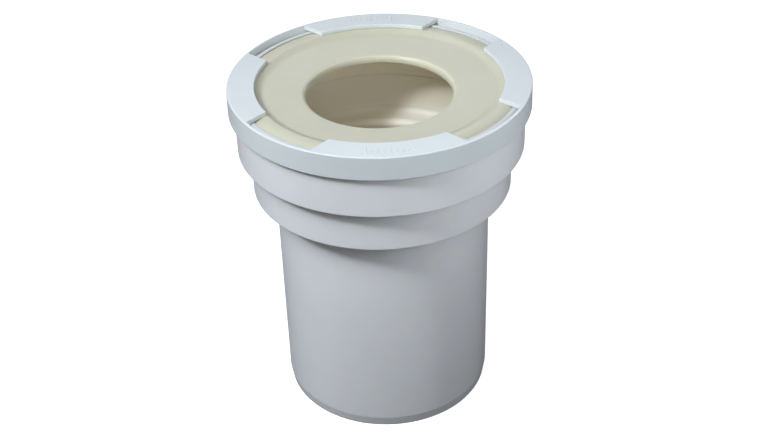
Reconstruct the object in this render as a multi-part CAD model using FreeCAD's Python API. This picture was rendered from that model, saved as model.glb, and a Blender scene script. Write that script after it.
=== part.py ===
import FreeCAD, Part
import math
import os

# Straight WC pan connector.  A one-piece plastic body has a plain spigot at the bottom and a
# two-tier bell at the top.  A soft sealing cuff stands in the bell's mouth, and a retaining ring
# clips over the mouth's lip and holds the cuff down with four tabs.
# Millimetres.  +Z runs up the pipe's axis, and the origin is the centre of the spigot's open end.

# ---- body: spigot -------------------------------------------------------------------------
SPIGOT_DIAMETER = 110.0       # fits a DN110 soil-pipe socket
SPIGOT_LENGTH = 122.8         # open end to the underside of the lower tier
SPIGOT_WALL = 3.0
LEAD_HEIGHT = 5.8             # slight lead-in taper at the open end
LEAD_DEPTH = 0.9

# ---- body: bell ---------------------------------------------------------------------------
LOWER_TIER_STEP = 11.1        # how far the lower tier stands out from the spigot
LOWER_TIER_HEIGHT = 22.9
LOWER_TIER_WALL = 3.0
UPPER_TIER_STEP = 6.2         # how far the upper tier stands out from the lower one
UPPER_TIER_HEIGHT = 31.3      # underside of the upper tier to the top of the mouth
UPPER_TIER_WALL = 3.3
SHELF_THICKNESS = 3.0         # floor of each tier
TIER_EDGE_ROUNDING = 0.5
INSIDE_ROUNDING = 1.0
SHELF_EDGE_ROUNDING = 0.4
FLOOR_ROUNDING = 6.0          # smooth foot of the lower tier's inner wall
THROAT_ROUNDING = 3.1         # from the bell's floor over into the spigot

# ---- body: lip round the mouth ---------------------------------------------------------------
LIP_STAND_OUT = 1.1           # beyond the upper tier
LIP_DEPTH = 4.0               # top of the mouth to the lip's underside
LIP_LEAD_WIDTH = 2.8          # sloping top that spreads the ring's hooks when it is pushed on
LIP_LEAD_HEIGHT = 1.8

# ---- sealing cuff ---------------------------------------------------------------------------
CUFF_CLEARANCE = 0.3          # between the cuff and the bell's wall
CUFF_PROUD = 0.3              # cuff's rim above the mouth, so the tabs press on the cuff first
CUFF_RIM_WIDTH = 7.3
CUFF_RIM_THICKNESS = 4.6
CUFF_CROWN_WIDTH = 3.4        # outer part of the rim that falls away towards the bell's wall
CUFF_CROWN_FALL = 1.0
CUFF_CROWN_ROUNDING = 13.0
CUFF_EDGE_ROUNDING = 0.5
CUFF_SLEEVE_WALL = 2.8
CUFF_SLEEVE_FOOT_STEP = 0.4   # the sleeve's foot stands this far back from the lower tier's inner wall
CUFF_SLOPE_WIDTH = 3.8        # from the rim down to the membrane
CUFF_SLOPE_FALL = 2.2
CUFF_CREST_ROUNDING = 3.0     # where the rim turns down into the slope
CUFF_FOOT_ROUNDING = 5.0      # where the slope runs out into the membrane
MEMBRANE_FALL = 1.9           # from the slope's foot to the hole's edge
HOLE_DIAMETER = 73.0          # relaxed; the pan's outlet stretches it
HOLE_LIP_WALL = 2.0
HOLE_LIP_LENGTH = 4.2         # membrane's surface to the end of the turned-down lip
HOLE_LIP_ROUNDING = 2.5

# ---- retaining ring -------------------------------------------------------------------------
RING_CLEARANCE = 0.3          # to the lip, to the upper tier and below the lip
RING_WALL = 1.4
RING_HEIGHT = 12.0
RING_DRAFT = 0.2              # the skirt is this much wider at its lower edge
RING_EDGE_ROUNDING = 0.6
TAB_THICKNESS = 2.2
TAB_REACH = 12.2              # inwards from the ring's wall
WINDOW_WIDTH = 41.0           # gap between tabs, with parallel ends
HOOK_HEIGHT = 3.8
HOOK_FLAT = 1.8               # hook's straight part above its lead-in
HOOK_SIDE_GAP = 1.0           # a hook is this much narrower than its window, on each side

# ---- raised index marks on two opposite tabs -----------------------------------------------------
MARK_COUNT = 9
MARK_PITCH = 2.8
MARK_WIDTH = 0.8
MARK_LENGTH = 3.2
LONG_MARK_LENGTH = 5.0        # every fourth one, from the first
MARK_HEIGHT = 0.25
MARK_OUTER_MARGIN = 4.2       # ring's outer face to the outer end of the marks

TAB_COUNT = 4
JOIN = 0.5                    # how far shapes that are fused run into each other

# ---- radii ------------------------------------------------------------------------------------
spigot_outer = SPIGOT_DIAMETER / 2
spigot_inner = spigot_outer - SPIGOT_WALL
lower_outer = spigot_outer + LOWER_TIER_STEP
lower_inner = lower_outer - LOWER_TIER_WALL
upper_outer = lower_outer + UPPER_TIER_STEP
upper_inner = upper_outer - UPPER_TIER_WALL
lip_outer = upper_outer + LIP_STAND_OUT
cuff_outer = upper_inner - CUFF_CLEARANCE
cuff_sleeve_inner = cuff_outer - CUFF_SLEEVE_WALL
cuff_foot_inner = lower_inner + CUFF_SLEEVE_FOOT_STEP
hole_radius = HOLE_DIAMETER / 2
ring_inner = lip_outer + RING_CLEARANCE
ring_outer = ring_inner + RING_WALL
tab_inner = ring_inner - TAB_REACH
hook_inner = upper_outer + RING_CLEARANCE

# ---- heights ------------------------------------------------------------------------------------
lower_bottom = SPIGOT_LENGTH
lower_floor = lower_bottom + SHELF_THICKNESS
upper_bottom = lower_bottom + LOWER_TIER_HEIGHT
upper_floor = upper_bottom + SHELF_THICKNESS
mouth_top = upper_bottom + UPPER_TIER_HEIGHT
lip_bottom = mouth_top - LIP_DEPTH
cuff_top = mouth_top + CUFF_PROUD
membrane_outer_top = cuff_top - CUFF_SLOPE_FALL
hole_edge_top = membrane_outer_top - MEMBRANE_FALL
hole_lip_bottom = hole_edge_top - HOLE_LIP_LENGTH
ring_top = cuff_top + TAB_THICKNESS
ring_bottom = ring_top - RING_HEIGHT
hook_top = lip_bottom - RING_CLEARANCE

AXIS = FreeCAD.Vector(0, 0, 1)
CENTRE = FreeCAD.Vector(0, 0, 0)


def section(corners):
    """Closed face through (radius, height, rounding) corners, taken in order."""
    points = [FreeCAD.Vector(radius, 0, height) for radius, height, _ in corners]
    bends = []
    for index, point in enumerate(points):
        rounding = corners[index][2]
        if rounding == 0:
            bends.append((point, None, point))
            continue
        back = (points[index - 1] - point).normalize()
        onward = (points[(index + 1) % len(points)] - point).normalize()
        half_angle = back.getAngle(onward) / 2
        reach = rounding / math.tan(half_angle)
        inset = rounding / math.sin(half_angle) - rounding
        middle = point + (back + onward).normalize() * inset
        bends.append((point + back * reach, middle, point + onward * reach))
    edges = []
    for index, (start, middle, end) in enumerate(bends):
        if middle:
            edges.append(Part.Arc(start, middle, end).toShape())
        edges.append(Part.LineSegment(end, bends[(index + 1) % len(bends)][0]).toShape())
    return Part.Face(Part.Wire(edges))


def turned(corners):
    """Solid of revolution about the pipe's axis."""
    return section(corners).revolve(CENTRE, AXIS, 360)


def connector_body():
    """Spigot and bell in one piece, open right through."""
    return turned([
        (spigot_inner, 0, 0.3),
        (spigot_outer - LEAD_DEPTH, 0, 0.3),
        (spigot_outer, LEAD_HEIGHT, 0),
        (spigot_outer, lower_bottom, INSIDE_ROUNDING),
        (lower_outer, lower_bottom, TIER_EDGE_ROUNDING),
        (lower_outer, upper_bottom, INSIDE_ROUNDING),
        (upper_outer, upper_bottom, TIER_EDGE_ROUNDING),
        (upper_outer, lip_bottom, 0),
        (lip_outer, lip_bottom, 0.2),
        (lip_outer, mouth_top - LIP_LEAD_HEIGHT, 0.4),
        (lip_outer - LIP_LEAD_WIDTH, mouth_top, 0.4),
        (upper_inner, mouth_top, 0.3),
        (upper_inner, upper_floor, 0.4),
        (lower_inner, upper_floor, SHELF_EDGE_ROUNDING),
        (lower_inner, lower_floor, FLOOR_ROUNDING),
        (spigot_inner, lower_floor, THROAT_ROUNDING),
    ])


def seal_cuff():
    """Rim and membrane with a turned-down hole lip, on a sleeve that thickens down to the bell's shelf."""
    slope_top = cuff_outer - CUFF_RIM_WIDTH
    return turned([
        (cuff_outer, upper_floor, 0.6),
        (cuff_outer, cuff_top - CUFF_CROWN_FALL, CUFF_EDGE_ROUNDING),
        (cuff_outer - CUFF_CROWN_WIDTH, cuff_top, CUFF_CROWN_ROUNDING),
        (slope_top, cuff_top, CUFF_CREST_ROUNDING),
        (slope_top - CUFF_SLOPE_WIDTH, membrane_outer_top, CUFF_FOOT_ROUNDING),
        (hole_radius, hole_edge_top, HOLE_LIP_ROUNDING),
        (hole_radius, hole_lip_bottom, 0.8),
        (hole_radius + HOLE_LIP_WALL, hole_lip_bottom, 0.8),
        (hole_radius + HOLE_LIP_WALL, hole_edge_top - HOLE_LIP_WALL, 1.2),
        (cuff_sleeve_inner, cuff_top - CUFF_RIM_THICKNESS, 1.5),
        (cuff_foot_inner, upper_floor, 0.2),
    ])


def window_slots(side_gap, bottom, top):
    """Parallel-sided slots on the lines midway between the tabs, out to the ring's wall."""
    width = WINDOW_WIDTH - 2 * side_gap
    slots = []
    for index in range(TAB_COUNT):
        corner = FreeCAD.Vector(hole_radius, -width / 2, bottom)
        slot = Part.makeBox(ring_outer - hole_radius, width, top - bottom, corner)
        slot.rotate(CENTRE, AXIS, (index + 0.5) * 360 / TAB_COUNT)
        slots.append(slot)
    return slots[0].fuse(slots[1:])


def index_marks():
    """Rows of short raised bars, square to the rim, on the tabs at the front and the back."""
    outer_end = ring_outer - MARK_OUTER_MARGIN
    marks = []
    for tab_angle in (90, 270):
        for index in range(MARK_COUNT):
            length = LONG_MARK_LENGTH if index % 4 == 0 else MARK_LENGTH
            along = (index - (MARK_COUNT - 1) / 2) * MARK_PITCH
            corner = FreeCAD.Vector(outer_end - length, -MARK_WIDTH / 2, ring_top - JOIN)
            mark = Part.makeBox(length, MARK_WIDTH, JOIN + MARK_HEIGHT, corner)
            mark.rotate(CENTRE, AXIS, tab_angle + math.degrees(along / outer_end))
            marks.append(mark)
    return marks


def retaining_ring():
    """Skirt round the mouth, four tabs over the cuff's rim and four hooks under the lip."""
    ring = turned([
        (ring_outer + RING_DRAFT, ring_bottom, 0.4),
        (ring_outer, ring_top, RING_EDGE_ROUNDING),
        (tab_inner, ring_top, 0.4),
        (tab_inner, cuff_top, 0.2),
        (ring_inner, cuff_top, 0),
        (ring_inner, ring_bottom, 0.3),
    ])
    inside = Part.makeCylinder(ring_inner, ring_top, CENTRE)
    windows = window_slots(0, cuff_top - JOIN, ring_top + JOIN).common(inside)
    hook_band = turned([
        (ring_inner + JOIN, hook_top, 0),
        (hook_inner, hook_top, 0),
        (hook_inner, hook_top - HOOK_FLAT, 0),
        (ring_inner, hook_top - HOOK_HEIGHT, 0),
        (ring_inner + JOIN, hook_top - HOOK_HEIGHT, 0),
    ])
    hooks = hook_band.common(window_slots(HOOK_SIDE_GAP, hook_top - HOOK_HEIGHT - JOIN, ring_top))
    return ring.cut(windows).fuse([hooks] + index_marks()).removeSplitter()


os.makedirs("parts", exist_ok=True)
PIECES = {
    "connector_body": connector_body(),
    "seal_cuff": seal_cuff(),
    "retaining_ring": retaining_ring(),
}
for name, shape in PIECES.items():
    shape.exportStep(os.path.join("parts", name + ".step"))
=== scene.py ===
"""Straight WC pan connector: looks for the moulded body, the soft cuff and the retaining ring."""
import math

import bpy
from mathutils import Matrix, Vector


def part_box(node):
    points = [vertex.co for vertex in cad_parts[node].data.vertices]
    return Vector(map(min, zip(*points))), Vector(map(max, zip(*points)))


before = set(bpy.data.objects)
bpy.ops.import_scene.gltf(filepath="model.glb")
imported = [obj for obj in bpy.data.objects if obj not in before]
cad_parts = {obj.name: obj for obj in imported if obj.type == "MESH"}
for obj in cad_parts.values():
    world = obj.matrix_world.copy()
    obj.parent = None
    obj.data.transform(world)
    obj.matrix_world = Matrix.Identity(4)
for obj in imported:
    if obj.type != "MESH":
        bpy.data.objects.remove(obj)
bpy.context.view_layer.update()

MM = 0.001
body_low, body_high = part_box("connector_body")

# ---- zones of the mouldings where light or shade is painted into the tone ------------------------
# Each is (lowest z, highest z, nearest radius, furthest radius) in mm, with z from the spigot's end.
SPIGOT_BORE = (0.4, 124.3, 0, 53.5)
LOWER_BELL_INSIDE = (124.3, 147.2, 0, 64.6)
UPPER_BELL_INSIDE = (147.2, 176.4, 0, 70.2)
# Painted shade: the bell's up-facing floor is coloured darker to tone down the light falling on it through
# the hole.
BELL_FLOOR_PAINTED_SHADE = (125.6, 131.2, 55.5, 62.9)
# Painted shade: the mouth's up-facing land is coloured greyer to tone down how brightly the lamps light it.
MOUTH_LAND_PAINTED_SHADE = (176.0, 178.0, 68.6, 73.8)
# Painted light: the cuff's underside is coloured creamier in place of light that soaks through the membrane.
CUFF_UNDERSIDE_PAINTED_LIGHT = (147.0, 172.9, 37.3, 68.5)
# Painted glow: the membrane's underside emits warm light, standing in for light that soaks through it.
MEMBRANE_UNDERSIDE_PAINTED_GLOW = (169.5, 172.9, 38.0, 62.0)

GRIT = "#A8A69E"
# Strength of the painted glow on the membrane's underside.
MEMBRANE_PAINTED_GLOW_STRENGTH = 0.285

# The melt's clouds of tone and gloss seldom leave this middle part of the noise.
CLOUD_LOW = 0.3
CLOUD_HIGH = 0.7


# ---- building materials ------------------------------------------------------------------------
def linear(hex_colour):
    """sRGB hex to the linear colour that a shader socket takes."""
    parts = [int(hex_colour[i:i + 2], 16) / 255 for i in (1, 3, 5)]
    return tuple(c / 12.92 if c <= 0.04045 else ((c + 0.055) / 1.055) ** 2.4 for c in parts) + (1.0,)


def add(tree, kind, links=None, values=None, **settings):
    """Adds one shader node: its settings, its plain input values and its links from other nodes."""
    node = tree.nodes.new("ShaderNode" + kind)
    for name, value in settings.items():
        setattr(node, name, value)
    for socket, value in (values or {}).items():
        node.inputs[socket].default_value = value
    for socket, output in (links or {}).items():
        tree.links.new(output, node.inputs[socket])
    return node


def new_material(name, **shader_values):
    """A node material with its Principled shader, and the piece's own coordinates in metres."""
    material = bpy.data.materials.new(name)
    material.use_nodes = True
    tree = material.node_tree
    tree.nodes.clear()
    shader = add(tree, "BsdfPrincipled")
    for socket, value in shader_values.items():
        shader.inputs[socket.replace("_", " ")].default_value = value
    add(tree, "OutputMaterial", links={"Surface": shader.outputs["BSDF"]})
    return material, tree, shader, add(tree, "TexCoord").outputs["Object"]


def melt_cloud(tree, place, size):
    """Slow cloud, of the given size in mm, that the tone and the gloss both drift with."""
    cloud = add(tree, "TexNoise", links={"Vector": place}, values={"Scale": 1 / (size * MM), "Detail": 3})
    return cloud.outputs["Fac"]


def two_tone(tree, cloud, first, second):
    """Colour that runs from the first to the second hex across the cloud."""
    ramp = add(tree, "ValToRGB", links={"Fac": cloud})
    for stop, position, colour in zip(ramp.color_ramp.elements, (CLOUD_LOW, CLOUD_HIGH), (first, second)):
        stop.position = position
        stop.color = linear(colour)
    return ramp.outputs["Color"]


def in_zones(tree, place, zones):
    """1 in any of the zones, else 0."""
    parts = add(tree, "SeparateXYZ", links={"Vector": place})
    flat = add(tree, "CombineXYZ", links={"X": parts.outputs["X"], "Y": parts.outputs["Y"]})
    radius = add(tree, "VectorMath", links={0: flat.outputs["Vector"]}, operation="LENGTH")
    inside = None
    for low, high, near, far in zones:
        in_height, in_radius = [
            add(
                tree, "Math", links={0: measure}, operation="COMPARE",
                values={1: (start + end) / 2 * MM, 2: (end - start) / 2 * MM},
            ).outputs[0]
            for measure, start, end in (
                (parts.outputs["Z"], low, high), (radius.outputs["Value"], near, far),
            )
        ]
        both = add(tree, "Math", links={0: in_height, 1: in_radius}, operation="MULTIPLY").outputs[0]
        inside = both if inside is None else add(
            tree, "Math", links={0: inside, 1: both}, operation="MAXIMUM",
        ).outputs[0]
    return inside


def mix_colours(tree, factor, first, second):
    """Colour that is the first where the factor is 0 and the second where it is 1."""
    mix = add(tree, "Mix", data_type="RGBA")
    for socket, source in ((0, factor), (6, first), (7, second)):
        if isinstance(source, str):
            mix.inputs[socket].default_value = linear(source)
        else:
            tree.links.new(source, mix.inputs[socket])
    return mix.outputs[2]


def specks(tree, place, spacing, size, share):
    """1 on small specks of about the given size, in some of the cells of the given spacing (mm)."""
    cells = add(tree, "TexVoronoi", links={"Vector": place}, values={"Scale": 1 / (spacing * MM)})
    near = add(
        tree, "Math", links={0: cells.outputs["Distance"]}, values={1: size / spacing}, operation="LESS_THAN",
    )
    lot = add(tree, "SeparateColor", links={"Color": cells.outputs["Color"]})
    chosen = add(tree, "Math", links={0: lot.outputs["Red"]}, values={1: share}, operation="LESS_THAN")
    both = add(tree, "Math", links={0: near.outputs[0], 1: chosen.outputs[0]}, operation="MULTIPLY")
    return both.outputs[0]


def uneven_gloss(tree, shader, cloud, dullest, glossiest):
    """Roughness that drifts with the same cloud as the tone."""
    gloss = add(
        tree, "MapRange", links={"Value": cloud},
        values={"From Min": CLOUD_LOW, "From Max": CLOUD_HIGH, "To Min": dullest, "To Max": glossiest},
    )
    tree.links.new(gloss.outputs["Result"], shader.inputs["Roughness"])


def skin(tree, shader, place, pitch, depth):
    """Fine unevenness of a moulded surface: the pitch and depth of its ripple in mm."""
    ripple = add(tree, "TexNoise", links={"Vector": place}, values={"Scale": 1 / (pitch * MM), "Detail": 2})
    bump = add(
        tree, "Bump", links={"Height": ripple.outputs["Fac"]},
        values={"Strength": 0.25, "Distance": depth * MM},
    )
    tree.links.new(bump.outputs["Normal"], shader.inputs["Normal"])


def moulded_polypropylene(name, light, deep, glow, painted_light_and_shade_tones=()):
    """Polypropylene, injection moulded in a polished steel tool.

    It is waxy and a little see-through, so its shadows are soft and its edges glow, and its gloss
    is dull and broad.  The tone clouds slowly over a few centimetres where the melt flowed.  The
    real ripple of the tool's finish is about 0.3 mm, too fine to show, and is drawn at 1.5 mm.
    The small dark specks are grit picked up in handling, under a millimetre each.  The last argument lists a
    colour and the zones where that colour is painted over the tone, as painted light or painted shade.
    """
    material, tree, shader, place = new_material(
        name, IOR=1.49, Subsurface_Weight=0.5, Subsurface_Radius=glow, Subsurface_Scale=1 * MM,
    )
    cloud = melt_cloud(tree, place, size=45)
    tone = two_tone(tree, cloud, deep, light)
    for colour, *zones in painted_light_and_shade_tones:
        tone = mix_colours(tree, in_zones(tree, place, zones), tone, colour)
    tone = mix_colours(tree, specks(tree, place, spacing=16, size=0.45, share=0.35), tone, GRIT)
    tree.links.new(tone, shader.inputs["Base Color"])
    uneven_gloss(tree, shader, cloud, dullest=0.44, glossiest=0.36)
    skin(tree, shader, place, pitch=1.5, depth=0.02)
    return material


def moulded_elastomer(name, light, deep, under, painted_glow):
    """Thermoplastic elastomer, the soft rubber-like plastic of a seal, injection moulded.

    It is matt and beige.  Its underside is painted creamier, painted light in place of the warm light that
    soaks through the thin membrane, and the membrane's underside is given a faint warm emission, a painted
    glow standing in for that light falling into the chamber below.
    Its real grain is about 0.2 mm, too fine to show, and is drawn at 1.2 mm.
    """
    material, tree, shader, place = new_material(
        name, IOR=1.5, Subsurface_Weight=0.7, Subsurface_Radius=(3.0, 2.6, 1.6), Subsurface_Scale=1 * MM,
        Emission_Strength=MEMBRANE_PAINTED_GLOW_STRENGTH,
    )
    cloud = melt_cloud(tree, place, size=30)
    tone = two_tone(tree, cloud, deep, light)
    # painted light: the underside is mixed to a creamier colour, standing in for light through the membrane
    tone = mix_colours(tree, in_zones(tree, place, [CUFF_UNDERSIDE_PAINTED_LIGHT]), tone, under)
    tone = mix_colours(tree, specks(tree, place, spacing=14, size=0.4, share=0.25), tone, GRIT)
    tree.links.new(tone, shader.inputs["Base Color"])
    # painted glow: warm emission on the membrane's underside, in place of light through the membrane
    through = mix_colours(tree, in_zones(tree, place, [MEMBRANE_UNDERSIDE_PAINTED_GLOW]), "#000000", painted_glow)
    tree.links.new(through, shader.inputs["Emission Color"])
    uneven_gloss(tree, shader, cloud, dullest=0.46, glossiest=0.38)
    skin(tree, shader, place, pitch=1.2, depth=0.02)
    return material


def dress(node, material):
    """Gives a moulding its material."""
    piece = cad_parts[node]
    piece.data.materials.clear()
    piece.data.materials.append(material)


# ---- the three mouldings ------------------------------------------------------------------------
# Painted light: inside, the white body's tone is painted warm cream, standing in for warm light that comes in
# through the beige cuff above it. Painted shade: the up-facing bell floor and mouth land are painted darker,
# to tone down how brightly the lamps light them.
dress("connector_body", moulded_polypropylene(
    "white_polypropylene", light="#EBEBE7", deep="#E7E7E3", glow=(2.5, 2.2, 1.5),
    painted_light_and_shade_tones=[
        # painted light: warm cream in the bore and both bell insides, in place of light through the cuff
        ("#E4E0CF", SPIGOT_BORE, LOWER_BELL_INSIDE, UPPER_BELL_INSIDE),
        ("#D9D6C8", BELL_FLOOR_PAINTED_SHADE),
        ("#D0D1CE", MOUTH_LAND_PAINTED_SHADE),
    ],
))
dress("retaining_ring", moulded_polypropylene(
    "bluish_polypropylene", light="#DADFDA", deep="#D6DBD7", glow=(1.0, 1.0, 1.0),
))
dress("seal_cuff", moulded_elastomer(
    "beige_elastomer", light="#CECBB3", deep="#CBC8B0", under="#E9E6D4", painted_glow="#FFE6BE",
))


# ---- camera --------------------------------------------------------------------------------------
VIEW_TURN = math.radians(-2.9)        # round the pipe, from straight in front of a tab
VIEW_HEIGHT = math.radians(34.05)
VIEW_ROLL = math.radians(-1.92)
VIEW_DISTANCE = 0.6779
LENS = 60.84
SENSOR_WIDTH = 36
AIM_SIDEWAYS = -0.0019
AIM_HEIGHT = 0.0956

right = Vector((math.cos(VIEW_TURN), math.sin(VIEW_TURN), 0))
back = Vector((
    math.sin(VIEW_TURN) * math.cos(VIEW_HEIGHT),
    -math.cos(VIEW_TURN) * math.cos(VIEW_HEIGHT),
    math.sin(VIEW_HEIGHT),
))
level_up = back.cross(right)
rolled_right = right * math.cos(VIEW_ROLL) + level_up * math.sin(VIEW_ROLL)
rolled_up = level_up * math.cos(VIEW_ROLL) - right * math.sin(VIEW_ROLL)
camera_data = bpy.data.cameras.new("camera")
camera_data.lens = LENS
camera_data.sensor_width = SENSOR_WIDTH
camera_data.clip_start = 0.01
camera = bpy.data.objects.new("camera", camera_data)
bpy.context.scene.collection.objects.link(camera)
turn = Matrix((rolled_right, rolled_up, back)).transposed().to_4x4()
aim = right * AIM_SIDEWAYS + Vector((0, 0, AIM_HEIGHT))
camera.matrix_world = Matrix.Translation(aim + back * VIEW_DISTANCE) @ turn
bpy.context.scene.camera = camera


# ---- studio ----------------------------------------------------------------------------------------
COOL_DAYLIGHT = (0.9, 0.95, 1.06)
LIGHTS_AIM_AT = body_high[2] * 0.7    # height on the pipe's axis, about at the bell's foot

# name, degrees round from the front (+ to the right), degrees up, distance, size, watts
SOFTBOXES = [
    ("key", -54, 45, 0.9, 0.10, 4.3),
    ("key_above", -50, 55, 0.9, 0.20, 2.6),
    ("left", -95, 40, 1.0, 0.6, 0.67),
    ("left_low", -90, 14, 1.5, 0.5, 3.65),
    ("front", 5, 40, 0.6, 0.3, 0.61),
    ("front_low", 0, 15, 1.5, 0.5, 1.47),
    ("right_near", 45, 20, 0.25, 0.08, 0.113),
    ("right_low", 60, 12, 0.4, 0.15, 0.26),
    ("right_back", 120, 35, 0.6, 0.3, 0.32),
    ("back_left", -150, 50, 1.0, 0.6, 0.92),
    ("back", 170, 35, 1.0, 0.4, 0.9),
]

for name, compass, height, distance, size, watts in SOFTBOXES:
    data = bpy.data.lights.new(name + "_softbox", "AREA")
    data.size = size
    data.energy = watts
    data.color = COOL_DAYLIGHT
    lamp = bpy.data.objects.new(name + "_softbox", data)
    bpy.context.scene.collection.objects.link(lamp)
    round_by = math.radians(compass)
    up_by = math.radians(height)
    away = Vector((
        math.sin(round_by) * math.cos(up_by),
        -math.cos(round_by) * math.cos(up_by),
        math.sin(up_by),
    ))
    lamp.location = Vector((0, 0, LIGHTS_AIM_AT)) + away * distance
    lamp.rotation_euler = away.to_track_quat("Z", "Y").to_euler()

world = bpy.data.worlds.new("dark_room")
world.use_nodes = True
world.node_tree.nodes["Background"].inputs["Strength"].default_value = 0
bpy.context.scene.world = world
bpy.context.scene.view_settings.view_transform = "Standard"

# The paper gives off its own light and takes no part in bounces, so it stays white and leaves
# the part's colours alone.
PAPER_WIDTH = 8
PAPER_LIGHT = 0.8
bpy.ops.mesh.primitive_plane_add(size=PAPER_WIDTH, location=(0, 0, body_low[2]))
paper_sweep = bpy.context.object
paper_sweep.name = "studio_floor"
paper_sweep.visible_diffuse = False
paper_sweep.visible_glossy = False
paper_sweep.data.materials.append(new_material(
    "white_paper_sweep", Base_Color=linear("#E6E6E6"), Roughness=0.9,
    Emission_Color=(1, 1, 1, 1), Emission_Strength=PAPER_LIGHT,
)[0])
